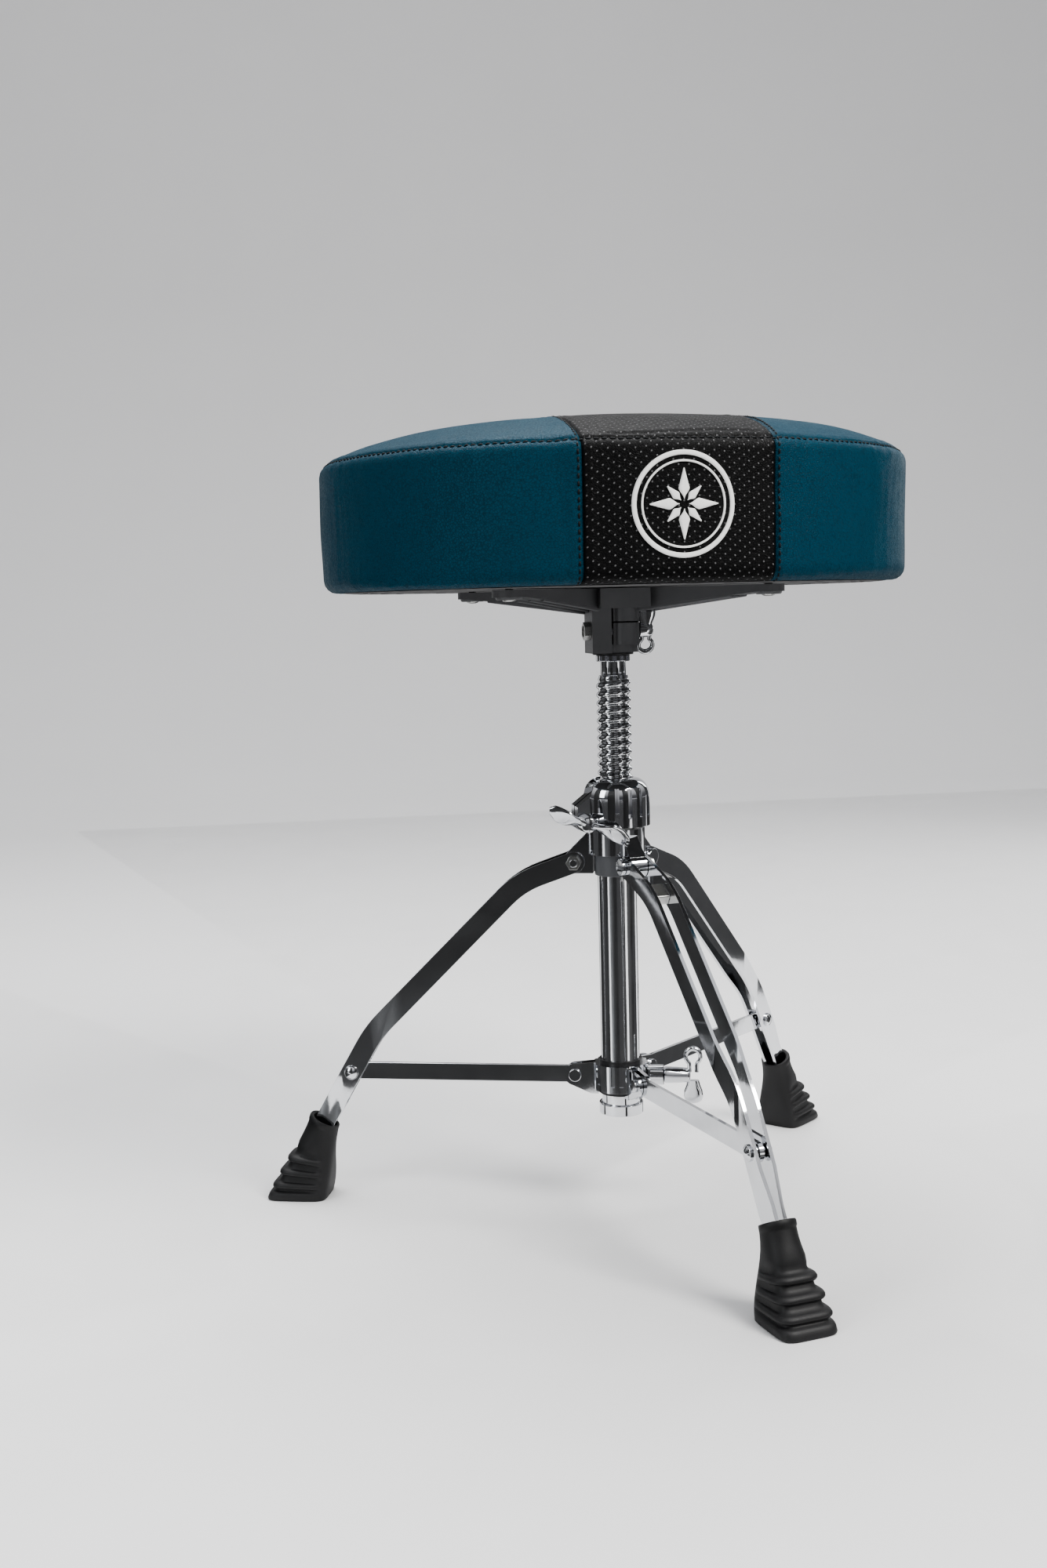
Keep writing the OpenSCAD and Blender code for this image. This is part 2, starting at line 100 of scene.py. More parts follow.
def new_object(name, data):
    obj = bpy.data.objects.new(name, data)
    bpy.context.scene.collection.objects.link(obj)
    return obj


# ---------------------------------------------------------------- camera and stage

def set_camera():
    """A camera at the photograph's viewing angle, just under the seat's height."""
    yaw, pitch, roll = (math.radians(a) for a in CAMERA_ANGLES)
    level = math.cos(pitch)
    look = Vector((math.sin(yaw) * level, math.cos(yaw) * level, -math.sin(pitch)))
    right = look.cross(UP).normalized()
    up = right.cross(look)
    right, up = (
        right * math.cos(roll) + up * math.sin(roll),
        up * math.cos(roll) - right * math.sin(roll),
    )
    data = bpy.data.cameras.new("camera")
    data.lens = CAMERA_LENS
    data.sensor_width = 36
    camera = new_object("camera", data)
    turn = Matrix((right, up, -look)).transposed().to_4x4()
    camera.matrix_world = Matrix.Translation(CAMERA_PLACE) @ turn
    bpy.context.scene.camera = camera


def area_light(name, place, aim, size, power, tint=(1, 1, 1)):
    data = bpy.data.lights.new(name, "AREA")
    data.shape = "RECTANGLE"
    data.size, data.size_y = size
    data.energy = power
    data.color = tint
    light = new_object(name, data)
    light.location = place
    light.rotation_euler = (Vector(aim) - light.location).to_track_quat("-Z", "Y").to_euler()


def make_world():
    """Soft light from above that darkens towards the horizon."""
    world = bpy.data.worlds.new("studio")
    bpy.context.scene.world = world
    world.use_nodes = True
    tree = world.node_tree
    back = tree.nodes["Background"]
    coords = tree.nodes.new("ShaderNodeTexCoord")
    split = tree.nodes.new("ShaderNodeSeparateXYZ")
    ramp = tree.nodes.new("ShaderNodeValToRGB")
    tree.links.new(coords.outputs["Generated"], split.inputs[0])
    tree.links.new(split.outputs["Z"], ramp.inputs["Fac"])
    tree.links.new(ramp.outputs["Color"], back.inputs["Color"])
    stops = ramp.color_ramp.elements
    stops[0].position, stops[0].color = 0.0, (0.10, 0.10, 0.11, 1)
    stops[1].position, stops[1].color = 1.0, (0.95, 0.96, 1.0, 1)
    for place, grey in ((0.12, 0.16), (0.3, 0.5), (0.6, 0.8)):
        stop = stops.new(place)
        stop.color = (grey, grey, grey * 1.02, 1)
    back.inputs["Strength"].default_value = 0.8
    bpy.context.scene.view_settings.look = "AgX - Medium High Contrast"


# ---------------------------------------------------------------- materials

class Shader:
    """A node material with object coordinates in millimetres."""

    def __init__(self, name):
        self.material = bpy.data.materials.new(name)
        self.material.use_nodes = True
        self.tree = self.material.node_tree
        self.bsdf = self.tree.nodes["Principled BSDF"]
        coords = self.tree.nodes.new("ShaderNodeTexCoord")
        self.place = self.scaled(coords.outputs["Object"], (1000, 1000, 1000))
        self.uv = coords.outputs["UV"]
        self.height = None

    def node(self, kind, **settings):
        node = self.tree.nodes.new(kind)
        for key, value in settings.items():
            setattr(node, key, value)
        return node

    def link(self, source, target):
        self.tree.links.new(source, target)

    def scaled(self, source, scale):
        node = self.node("ShaderNodeMapping")
        node.inputs["Scale"].default_value = scale
        self.link(source, node.inputs["Vector"])
        return node.outputs["Vector"]

    def noise(self, size, detail=4, rough=0.55, where=None):
        """Noise whose features are about size millimetres."""
        node = self.node("ShaderNodeTexNoise")
        node.inputs["Scale"].default_value = 1 / size
        node.inputs["Detail"].default_value = detail
        node.inputs["Roughness"].default_value = rough
        self.link(where or self.place, node.inputs["Vector"])
        return node.outputs["Fac"]

    def cells(self, size, feature="SMOOTH_F1", where=None):
        node = self.node("ShaderNodeTexVoronoi", feature=feature)
        node.inputs["Scale"].default_value = 1 / size
        self.link(where or self.place, node.inputs["Vector"])
        return node.outputs["Distance"]

    def math(self, operation, *values):
        node = self.node("ShaderNodeMath", operation=operation)
        for socket, value in zip(node.inputs, values):
            if isinstance(value, (int, float)):
                socket.default_value = value
            else:
                self.link(value, socket)
        return node.outputs[0]

    def spread(self, value, low, high, start=0.3, end=0.7):
        node = self.node("ShaderNodeMapRange")
        self.link(value, node.inputs["Value"])
        limits = {"From Min": start, "From Max": end, "To Min": low, "To Max": high}
        for key, number in limits.items():
            node.inputs[key].default_value = number
        return node.outputs["Result"]

    def mix(self, factor, dark, light):
        node = self.node("ShaderNodeMix", data_type="RGBA")
        self.link(factor, node.inputs["Factor"])
        for socket, colour in ((node.inputs[6], dark), (node.inputs[7], light)):
            if isinstance(colour, tuple):
                socket.default_value = (*colour, 1)
            else:
                self.link(colour, socket)
        return node.outputs[2]

    def bump(self, value, distance, strength=1.0):
        """Adds relief of that depth in millimetres on top of the relief before it."""
        node = self.node("ShaderNodeBump")
        node.inputs["Distance"].default_value = distance * MM
        node.inputs["Strength"].default_value = strength
        self.link(value, node.inputs["Height"])
        if self.height is not None:
            self.link(self.height, node.inputs["Normal"])
        self.height = node.outputs["Normal"]

    def done(self, colour, rough, metallic=0.0, **constants):
        self.link(colour, self.bsdf.inputs["Base Color"])
        self.link(rough, self.bsdf.inputs["Roughness"])
        self.bsdf.inputs["Metallic"].default_value = metallic
        for key, value in constants.items():
            self.bsdf.inputs[key.replace("_", " ")].default_value = value
        if self.height is not None:
            self.link(self.height, self.bsdf.inputs["Normal"])
        return self.material


def metal(name, dark, light, rough, grain, relief):
    """Metal with faint blotches and waves; grain and relief are in millimetres."""
    s = Shader(name)
    blotch = s.noise(18)
    fine = s.noise(grain, 6)
    s.bump(s.noise(9, 2), relief)
    s.bump(fine, relief * 0.25)
    wear = s.math("MULTIPLY", blotch, fine)
    return s.done(s.mix(blotch, dark, light), s.spread(wear, *rough, 0.1, 0.5), 1.0)


def polymer(name, dark, light, rough, grain, relief, **constants):
    """Plastic, paint, rubber, foam or felt with a fine grain of that size and relief."""
    s = Shader(name)
    fine = s.noise(grain, 5)
    s.bump(fine, relief)
    s.bump(s.cells(grain * 2.4), relief * 0.6)
    return s.done(s.mix(s.noise(25), dark, light), s.spread(fine, *rough), **constants)


def leatherette(name, dark, light, holes=False):
    """Grained leatherette: pebbles about 1.3 mm across, parted by fine creases that are darkened as
    painted shade; with holes, the holes are painted pale grey as painted highlights.
    """
    s = Shader(name)
    warp = s.node("ShaderNodeVectorMath", operation="MULTIPLY_ADD")
    wobble = s.node("ShaderNodeTexNoise")
    wobble.inputs["Scale"].default_value = 0.55
    s.link(s.place, wobble.inputs["Vector"])
    s.link(wobble.outputs["Color"], warp.inputs[0])
    warp.inputs[1].default_value = (1.5, 1.5, 1.5)
    s.link(s.place, warp.inputs[2])
    pebbles = s.cells(1.75, "F1", warp.outputs[0])
    edges = s.cells(1.75, "DISTANCE_TO_EDGE", warp.outputs[0])
    crease = s.spread(edges, 0, 1, 0.0, 0.16)
    s.bump(s.noise(30, 3), 0.5, 0.5)
    s.bump(crease, 0.2, 0.9)
    s.bump(pebbles, 0.2, 0.6)
    s.bump(s.noise(0.5, 3), 0.05, 0.5)
    tone = s.mix(s.noise(40, 5), dark, light)
    # Painted shade: the creases between the pebbles are darkened to 0.7 of the dark tone.
    tone_with_painted_light = s.mix(crease, tuple(c * 0.7 for c in dark), tone)
    rough = s.spread(s.math("ADD", s.noise(12, 4), pebbles), 0.4, 0.6, 0.4, 1.4)
    if holes:
        mask = perforations(s)
        s.bump(mask, 0.45)
        # Painted highlight: the holes are painted pale grey for light caught on their edges.
        tone_with_painted_light = s.mix(mask, (0.13, 0.13, 0.133), tone_with_painted_light)
    return s.done(tone_with_painted_light, rough, Specular_IOR_Level=0.18)


def perforations(s):
    """1 inside the surface and 0 in the staggered holes, on UVs that count millimetres."""
    split = s.node("ShaderNodeSeparateXYZ")
    s.link(s.uv, split.inputs[0])
    lines = s.math("DIVIDE", split.outputs["Y"], HOLE_ROW)
    odd = s.math("FLOORED_MODULO", s.math("FLOOR", lines), 2.0)
    columns = s.math("DIVIDE", split.outputs["X"], HOLE_COLUMN)
    across = s.math("ADD", columns, s.math("MULTIPLY", odd, 0.5))
    du = s.math("MULTIPLY", s.math("SUBTRACT", s.math("FRACT", across), 0.5), HOLE_COLUMN)
    dv = s.math("MULTIPLY", s.math("SUBTRACT", s.math("FRACT", lines), 0.5), HOLE_ROW)
    reach = s.math("SQRT", s.math("ADD", s.math("MULTIPLY", du, du), s.math("MULTIPLY", dv, dv)))
    return s.spread(reach, 0, 1, HOLE_R * 0.7, HOLE_R * 1.15)


def plies():
    """Plywood whose layers, 2.4 mm thick, show at the edge."""
    s = Shader("raw_plywood")
    split = s.node("ShaderNodeSeparateXYZ")
    s.link(s.place, split.inputs[0])
    count = s.math("FLOOR", s.math("DIVIDE", split.outputs["Z"], 2.4))
    layer = s.math("FLOORED_MODULO", count, 2.0)
    grain = s.noise(3, 6, 0.6, s.scaled(s.place, (0.12, 1, 1)))
    wood = s.mix(grain, (0.42, 0.26, 0.13), (0.68, 0.49, 0.29))
    s.bump(grain, 0.2)
    return s.done(s.mix(layer, wood, (0.36, 0.21, 0.1)), s.spread(grain, 0.55, 0.8))


def thread(name, dark, light):
    s = Shader(name)
    fine = s.noise(0.25, 3)
    s.bump(fine, 0.06)
    tone = s.mix(s.noise(1.2), dark, light)
    return s.done(tone, s.spread(fine, 0.45, 0.7), Specular_IOR_Level=0.3)


# One material for each of the record's slots
MATERIALS = {
    "chrome": metal(
        "polished_chrome", (0.66, 0.67, 0.69), (0.8, 0.81, 0.83), (0.03, 0.11), 1.2, 0.012),
    "zinc_steel": metal(
        "zinc_plate", (0.46, 0.46, 0.45), (0.62, 0.62, 0.6), (0.22, 0.42), 0.7, 0.03),
    "cast_grey": polymer(
        "powder_coat", (0.06, 0.061, 0.064), (0.088, 0.089, 0.093), (0.34, 0.5), 0.6, 0.07),
    "rubber": polymer(
        "moulded_rubber", (0.006, 0.006, 0.0065), (0.011, 0.011, 0.012), (0.45, 0.65), 0.4, 0.05),
    "grey_plastic": polymer(
        "grey_nylon", (0.075, 0.078, 0.083), (0.1, 0.103, 0.11), (0.35, 0.5), 0.5, 0.03),
    "black_plastic": polymer(
        "black_acetal", (0.012, 0.012, 0.013), (0.02, 0.02, 0.021), (0.3, 0.45), 0.5, 0.02),
    "foam": polymer(
        "cut_foam", (0.62, 0.56, 0.4), (0.76, 0.7, 0.55), (0.8, 0.95), 1.1, 0.5),
    "black_cloth": polymer(
        "felted_cloth", (0.008, 0.008, 0.009), (0.02, 0.02, 0.021), (0.75, 0.95), 0.8, 0.12,
        Sheen_Weight=0.15),
    "teal_leatherette": leatherette(
        "teal_grain", (0.0008, 0.036, 0.062), (0.0013, 0.052, 0.086)),
    "black_leatherette": leatherette(
        "black_perforated", (0.003, 0.003, 0.0033), (0.0055, 0.0055, 0.006), True),
    "plywood": plies(),
}
# Painted shade: near-black steel for the zinc staples, which sit in shade under the seat.
STEEL_DARKENED_FOR_SHADE = metal(
    "steel_darkened_for_shade", (0.02, 0.02, 0.021), (0.05, 0.05, 0.052), (0.4, 0.6), 0.7, 0.03)
WHITE_THREAD = thread("white_thread", (0.72, 0.72, 0.7), (0.9, 0.9, 0.88))
DARK_THREAD = thread("dark_thread", (0.003, 0.004, 0.005), (0.008, 0.01, 0.012))


# ---------------------------------------------------------------- mesh tools

def mesh_from(name, points, faces):
    """A mesh from points in millimetres."""
    mesh = bpy.data.meshes.new(name)
    mesh.from_pydata([tuple(c * MM for c in p) for p in points], [], faces)
    return mesh


def piece(name, points, faces, body, slot, stands_for=(), sharp=35, material=None):
    """A new piece from points in millimetres. It rides on a body and takes a slot's finish."""
    mesh = mesh_from(name, points, faces)
    mesh.validate()
    return finish_piece(name, mesh, body, slot, stands_for, 0.0, sharp, material)


def finish_piece(name, mesh, body, slot, stands_for=(), edge=0.0, sharp=35, material=None):
    """A cleaned, smooth-shaded piece; edge rounds its sharp edges by that many millimetres."""
    tidy = bmesh.new()
    tidy.from_mesh(mesh)
    bmesh.ops.remove_doubles(tidy, verts=tidy.verts, dist=0.004 * MM)
    bmesh.ops.dissolve_degenerate(tidy, edges=tidy.edges, dist=0.002 * MM)
    bmesh.ops.recalc_face_normals(tidy, faces=tidy.faces)
    tidy.to_mesh(mesh)
    tidy.free()
    obj = new_object(name, mesh)
    mesh.materials.clear()
    mesh.materials.append(material or MATERIALS[slot])
    mesh.shade_smooth()
    mesh.set_sharp_from_angle(angle=math.radians(sharp))
    if edge:
        bevel = obj.modifiers.new("rounded_edges", "BEVEL")
        bevel.width = edge * MM
        bevel.segments = 2
        bevel.limit_method = "ANGLE"
        bevel.angle_limit = math.radians(32)
        bevel.harden_normals = True
    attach(obj, body)
    if stands_for:
        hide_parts(*stands_for)
    return obj


def add_skin(obj, thickness, offset):
    skin = obj.modifiers.new("skin", "SOLIDIFY")
    skin.thickness = thickness * MM
    skin.offset = offset


def refined(node, edge):
    """A copy of a CAD solid with its sharp edges rounded, as they are on the real part."""
    source = frame["nodes"][node]
    body = source["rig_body"]
    subparts = frame["record"]["subparts"]
    slot = next(p["material_slot"] for p in subparts if p["node"] == node)
    mesh = source.data.copy()
    flat = bmesh.new()
    flat.from_mesh(mesh)
    bmesh.ops.remove_doubles(flat, verts=flat.verts, dist=0.01 * MM)
    bmesh.ops.dissolve_limit(
        flat, angle_limit=math.radians(0.6), verts=flat.verts, edges=flat.edges)
    flat.to_mesh(mesh)
    flat.free()
    if "custom_normal" in mesh.attributes:
        mesh.attributes.remove(mesh.attributes["custom_normal"])
    finish_piece(node + "_refined", mesh, body, slot, (node,), edge, 30)


def around(sides):
    """The angles of that many points round a circle."""
    return [2 * math.pi * k / sides for k in range(sides)]


def heading(degrees):
    """The level unit vector in that direction."""
    angle = math.radians(degrees)
    return Vector((math.cos(angle), math.sin(angle), 0))


def squircle(angle, power):
    """A point on a unit circle that squares off as power rises above 2."""
    c, s = math.cos(angle), math.sin(angle)
    return math.copysign(abs(c) ** (2 / power), c), math.copysign(abs(s) ** (2 / power), s)


def grid_faces(rows, columns, closed=True):
    """Quads over a grid of points that are counted row by row."""
    faces = []
    for i in range(rows - 1):
        for j in range(columns if closed else columns - 1):
            k = (j + 1) % columns
            a, b = i * columns, (i + 1) * columns
            faces.append((a + j, a + k, b + k, b + j))
    return faces


def capped_faces(rows, sides):
    """The faces of a closed solid: a grid of rings and its two end caps."""
    last = (rows - 1) * sides
    caps = [tuple(range(sides - 1, -1, -1)), tuple(range(last, last + sides))]
    return grid_faces(rows, sides) + caps


def lathe(outline, place=None, sides=64):
    """A closed solid of revolution round Z from (radius, height) pairs."""
    points = [
        Vector((r * math.cos(t), r * math.sin(t), z))
        for r, z in outline
        for t in around(sides)
    ]
    faces = capped_faces(len(outline), sides)
    return [tuple(place @ p) if place else tuple(p) for p in points], faces


def sweep(sections, sides=20, power=2.6):
    """A solid lofted through sections: (centre, half-width vector, half-thickness vector)."""
    points = []
    for centre, wide, thick in sections:
        for t in around(sides):
            u, v = squircle(t, power)
            points.append(tuple(Vector(centre) + Vector(wide) * u + Vector(thick) * v))
    return points, capped_faces(len(sections), sides)


def merged(*parts):
    """One (points, faces) pair from several."""
    points, faces = [], []
    for more_points, more_faces in parts:
        shift = len(points)
        points += list(more_points)
        faces += [tuple(i + shift for i in f) for f in more_faces]
    return points, faces


def placed(part, matrix):
    return [tuple(matrix @ Vector(p)) for p in part[0]], part[1]


def turned_to(direction, at):
    """Sends +Z to a direction and the origin to a point."""
    turn = Vector(direction).to_track_quat("Z", "Y").to_matrix().to_4x4()
    return Matrix.Translation(at) @ turn


def leg_turn(index):
    """Turns a leg's own plane to its heading."""
    return Matrix.Rotation(math.radians(HEADING + 120 * index), 4, "Z")


def smooth(t):
    """An ease from 0 to 1."""
    t = min(max(t, 0.0), 1.0)
    return t * t * (3 - 2 * t)


def bell(distance, width):
    """1 at no distance, fading out over the width."""
    return math.exp(-((distance / width) ** 2))


# ---------------------------------------------------------------- cushion

def dense_outline():
    """Half outline in mm: from the lip under the base, up the wall and over the crown."""
    bottom, top = 9.0, 13.0
    foot_r, foot_z, wall_top = SEAT_R - 11, SEAT_Z + 1.2, SEAM_Z - 10
    line = [(SEAT_R - 31, foot_z), (foot_r, foot_z)]
    line += [
        (foot_r + bottom * math.cos(a), foot_z + bottom * (1 + math.sin(a)))
        for a in (math.radians(d) for d in range(-85, 1, 5))
    ]
    line += [
        (SEAT_R - 2 + 1.2 * smooth((z - SEAT_Z) / 80), z)
        for z in np.linspace(SEAT_Z + 12, wall_top, 30)
    ]
    line += [
        (SEAT_R - 0.8 - top + top * math.cos(a), wall_top + top * math.sin(a))
        for a in (math.radians(d) for d in range(3, 46, 3))
    ]
    rim_r, rim_z = line[-1]
    rise = SEAM_Z + CROWN - rim_z
    line += [
        (rim_r * t, rim_z + rise * (1 - t ** 3.4) ** 0.8)
        for t in [1 - (k / 80) ** 1.6 for k in range(1, 80)] + [0.0]
    ]
    return np.array(line)


OUTLINE = dense_outline()
LENGTHS = np.concatenate([[0], np.cumsum(np.hypot(*np.diff(OUTLINE, axis=0).T))])
SEAM_S = float(LENGTHS[np.argmax(OUTLINE[:, 1] > SEAM_Z - 1.2)])
TOTAL_S = float(LENGTHS[-1])


def outline_at(s):
    """(radius, height) and the outward normal of the resting outline at arc length s."""
    r = np.interp(s, LENGTHS, OUTLINE[:, 0])
    z = np.interp(s, LENGTHS, OUTLINE[:, 1])
    a, b = max(s - 0.8, 0), min(s + 0.8, TOTAL_S)
    dr = np.interp(b, LENGTHS, OUTLINE[:, 0]) - np.interp(a, LENGTHS, OUTLINE[:, 0])
    dz = np.interp(b, LENGTHS, OUTLINE[:, 1]) - np.interp(a, LENGTHS, OUTLINE[:, 1])
    size = math.hypot(dr, dz) or 1.0
    return r, z, dz / size, -dr / size


SIM_S = np.linspace(24, TOTAL_S - 3, SIM_ROWS)


def inflate():
    """Cloth pressure on a coarse cushion, held at its seams: each point's swelling in mm."""
    rest, normals = [], []
    for s in SIM_S:
        r, z, nr, nz = outline_at(float(s))
        for t in around(SIM_SIDES):
            rest.append((r * math.cos(t), r * math.sin(t), z))
            normals.append((nr * math.cos(t), nr * math.sin(t), nz))
    mesh = mesh_from("swelling", rest, capped_faces(SIM_ROWS, SIM_SIDES))
    body = new_object("swelling", mesh)
    held = body.vertex_groups.new(name="held")
    for i, (x, _, z) in enumerate(rest):
        row = SIM_S[i // SIM_SIDES]
        weight = 1.0 if z < SEAT_Z + 9 else 0.0
        weight = max(weight, 0.9 * bell(row - SEAM_S, 5), 0.75 * bell(abs(x) - BAND, 7))
        if weight > 0.02:
            held.add([i], weight, "REPLACE")
    cloth = body.modifiers.new("cloth", "CLOTH")
    settings = cloth.settings
    settings.quality = 5
    settings.mass = 0.25
    settings.tension_stiffness = settings.compression_stiffness = 18
    settings.shear_stiffness = 8
    settings.bending_stiffness = 0.6
    settings.use_pressure = True
    settings.uniform_pressure_force = 4
    settings.vertex_group_mass = "held"
    settings.effector_weights.gravity = 0
    scene = bpy.context.scene
    for frame_number in range(1, 21):
        scene.frame_set(frame_number)
    shaped = body.evaluated_get(bpy.context.evaluated_depsgraph_get()).to_mesh()
    after = np.array([v.co for v in shaped.vertices]) / MM
    swell = np.einsum("ij,ij->i", after - np.array(rest), np.array(normals))
    bpy.data.objects.remove(body)
    scene.frame_set(1)
    return np.clip(swell, -0.5, 4.0).reshape(SIM_ROWS, SIM_SIDES)


SWELL = inflate()


def swell_at(s, angle):
    """The simulated swelling between the coarse points."""
    i = min(max((s - SIM_S[0]) / (SIM_S[1] - SIM_S[0]), 0), SIM_ROWS - 1.001)
    j = (angle / (2 * math.pi) * SIM_SIDES) % SIM_SIDES
    a, b = int(i), int(j)
    u, v = i - a, j - b
    c = (b + 1) % SIM_SIDES
    near = SWELL[a, b] * (1 - v) + SWELL[a, c] * v
    far = SWELL[a + 1, b] * (1 - v) + SWELL[a + 1, c] * v
    return (near * (1 - u) + far * u) * smooth(s / 40)


def relief_at(s, x, y, z):
    """Sewn channels, puckers along them and the slack of the leatherette, in mm."""
    above = smooth((s - 14) / 12)
    to_rim, to_band = s - SEAM_S, abs(x) - BAND
    near = max(bell(to_rim, 11), bell(to_band, 11))
    angle = math.atan2(y, x)
    drawn_in = 0.6 - 0.4 * math.cos(RIM_STITCHES * angle)
    relief = -1.7 * drawn_in * bell(to_rim, 1.25) + 0.55 * bell(abs(to_rim) - 5, 3)
    relief += (-1.5 * bell(to_band, 1.2) + 0.5 * bell(abs(to_band) - 5, 3)) * above
    fold = noise.noise(Vector((x / 7.5, y / 7.5, z / 16)))
    slack = noise.noise(Vector((x / 48 + 3, y / 48, z / 40)))
    relief += (0.62 * near * fold + 0.75 * slack) * above
    pull = noise.noise(Vector((angle * 30, s / 60, 7)))
    relief += 0.3 * pull * smooth((SEAM_S - s) / 25) * above
    if abs(x) < BAND and y < 0:
        wander = 1.6 * math.sin(x / 17) + 1.2 * noise.noise(Vector((x / 21, 5, 2)))
        line = to_rim - 6.5 - wander
        across = smooth((BAND - 3 - abs(x)) / 12)
        relief += across * (-0.95 * bell(line, 1.3) + 0.6 * bell(line - 3.4, 2.2))
    return max(relief, -2.4)


def cushion_point(s, angle, lift=0.0):
    """A point on the finished cushion, and its outward normal."""
    r, z, nr, nz = outline_at(s)
    c, d = math.cos(angle), math.sin(angle)
    out = swell_at(s, angle) + relief_at(s, r * c, r * d, z) + lift
    reach = r + nr * out
    return Vector((reach * c, reach * d, z + nz * out)), Vector((nr * c, nr * d, nz))


def cushion_rows():
    """Arc lengths of the mesh rows: closer together beside the seam and the crease."""
    beside = (-7, -5, -3.6, -2.4, -1.5, -0.8, 0, 0.8, 1.5, 2.4, 3.6, 5, 6.2, 7.4, 8.6, 10, 12)
    fine = [SEAM_S + d for d in beside]
    rows = [s for s in np.arange(0, TOTAL_S - 3, 3.4) if all(abs(s - f) > 1.5 for f in fine)]
    return sorted(rows + fine)


def whole_cover(along_name):
    """The cover at rest as one surface, with edges along the band's seams."""
    rows = cushion_rows()
    sides = RIM_STITCHES * 2
    shell = bmesh.new()
    along = shell.verts.layers.float.new(along_name)
    grid = []
    for s in rows:
        r, z, _, _ = outline_at(s)
        for t in around(sides):
            v = shell.verts.new((r * math.cos(t), r * math.sin(t), z))
            v[along] = s
            grid.append(v)
    for f in grid_faces(len(rows), sides):
        shell.faces.new([grid[i] for i in f])
    crown = shell.verts.new((0, 0, SEAM_Z + CROWN))
    crown[along] = TOTAL_S
    last = (len(rows) - 1) * sides
    for k in range(sides):
        shell.faces.new((grid[last + k], grid[last + (k + 1) % sides], crown))
    for side in (-1, 1):
        for step in (-7, -5, -3.4, -2.2, -1.2, -0.6, 0, 0.6, 1.2, 2.2, 3.4, 5, 7):
            bmesh.ops.bisect_plane(
                shell, geom=shell.verts[:] + shell.edges[:] + shell.faces[:], dist=1e-4,
                plane_co=(side * (BAND + step), 0, 0), plane_no=(side, 0, 0),
            )
    return shell


def cover_panels():
    """The cover, shaped as a whole and cut along the band's seams into its three panels."""
    shell = whole_cover("along")
    along = shell.verts.layers.float["along"]
    uv = shell.loops.layers.uv.new("UVMap")
    for f in shell.faces:
        for loop in f.loops:
            v = loop.vert
            sign = -1 if f.calc_center_median().y < 0 else 1
            reach = v[along] - SEAM_S
            wall = sign * (math.sqrt(max(SEAT_R ** 2 - v.co.x ** 2, 0)) - reach)
            loop[uv].uv = (v.co.x, v.co.y if reach > 0 else wall)
    panel_of = {}
    for f in shell.faces:
        x = f.calc_center_median().x
        panel_of[f.index] = "band" if abs(x) < BAND else "left" if x < 0 else "right"
    for v in shell.verts:
        v.co = cushion_point(v[along], math.atan2(v.co.y, v.co.x))[0] * MM
    shell.faces.index_update()
    teal, black = "teal_leatherette", "black_leatherette"
    for name, slot in (("left", teal), ("right", teal), ("band", black)):
        panel = shell.copy()
        panel.faces.ensure_lookup_table()
        spare = [f for f in panel.faces if panel_of[f.index] != name]
        bmesh.ops.delete(panel, geom=spare, context="FACES")
        mesh = bpy.data.meshes.new("cover_" + name)
        panel.to_mesh(mesh)
        panel.free()
        node = "cover_band" if name == "band" else f"cover_{name}_panel"
        obj = finish_piece("seat_cover_" + name, mesh, "seat", slot, (node,), 0, 60)
        add_skin(obj, 1.6, -1)
    shell.free()


def foam_core():
    """The foam, 3.6 mm inside the cover and flat where it lies on the plywood."""
    rows, sides = 60, 120
    points = []
    for s in np.linspace(30, TOTAL_S - 2, rows):
        for t in around(sides):
            p = cushion_point(float(s), t, -3.6)[0]
            points.append((p.x, p.y, max(p.z, SEAT_Z + 16)))
    faces = capped_faces(rows, sides)
    core = piece("seat_foam_core", points, faces, "seat", "foam", ("foam_pad",), 60)


def stitch(a, b, normal, radius=0.6):
    """One stitch of thread between two needle holes, arched over the surface."""
    along = (b - a).normalized()
    across = along.cross(normal).normalized()
    sections = []
    arch = [(0, -0.55, 0.6), (0.16, 0.12, 1), (0.5, 0.34, 1.08), (0.84, 0.12, 1), (1, -0.55, 0.6)]
    for t, lift, size in arch:
        centre = a.lerp(b, t) + normal * lift
        sections.append((centre, across * radius * size, normal * radius * size * 0.8))
    return sweep(sections, 6, 2)


def stitched(name, line, count=None, pitch=4.8, gap=1.3):
    """A row of dark stitches along a dense line of (point, normal), by number or by pitch."""
    places = [0.0]
    for (p, _), (q, _) in zip(line, line[1:]):
        places.append(places[-1] + (q - p).length)
    parts = []

    def at(distance):
        i = min(int(np.searchsorted(places, distance, side="right")) - 1, len(line) - 2)
        t = (distance - places[i]) / ((places[i + 1] - places[i]) or 1)
        (p, n), (q, m) = line[i], line[i + 1]
        return p.lerp(q, t), n.lerp(m, t).normalized()

    count = count or round(places[-1] / pitch)
    pitch = places[-1] / count
    for k in range(count):
        a, n = at(k * pitch + gap / 2)
        b, _ = at((k + 1) * pitch - gap / 2)
        parts.append(stitch(a, b, n))
    points, faces = merged(*parts)
    piece(name, points, faces, "seat", "black_cloth", (), 80, DARK_THREAD)


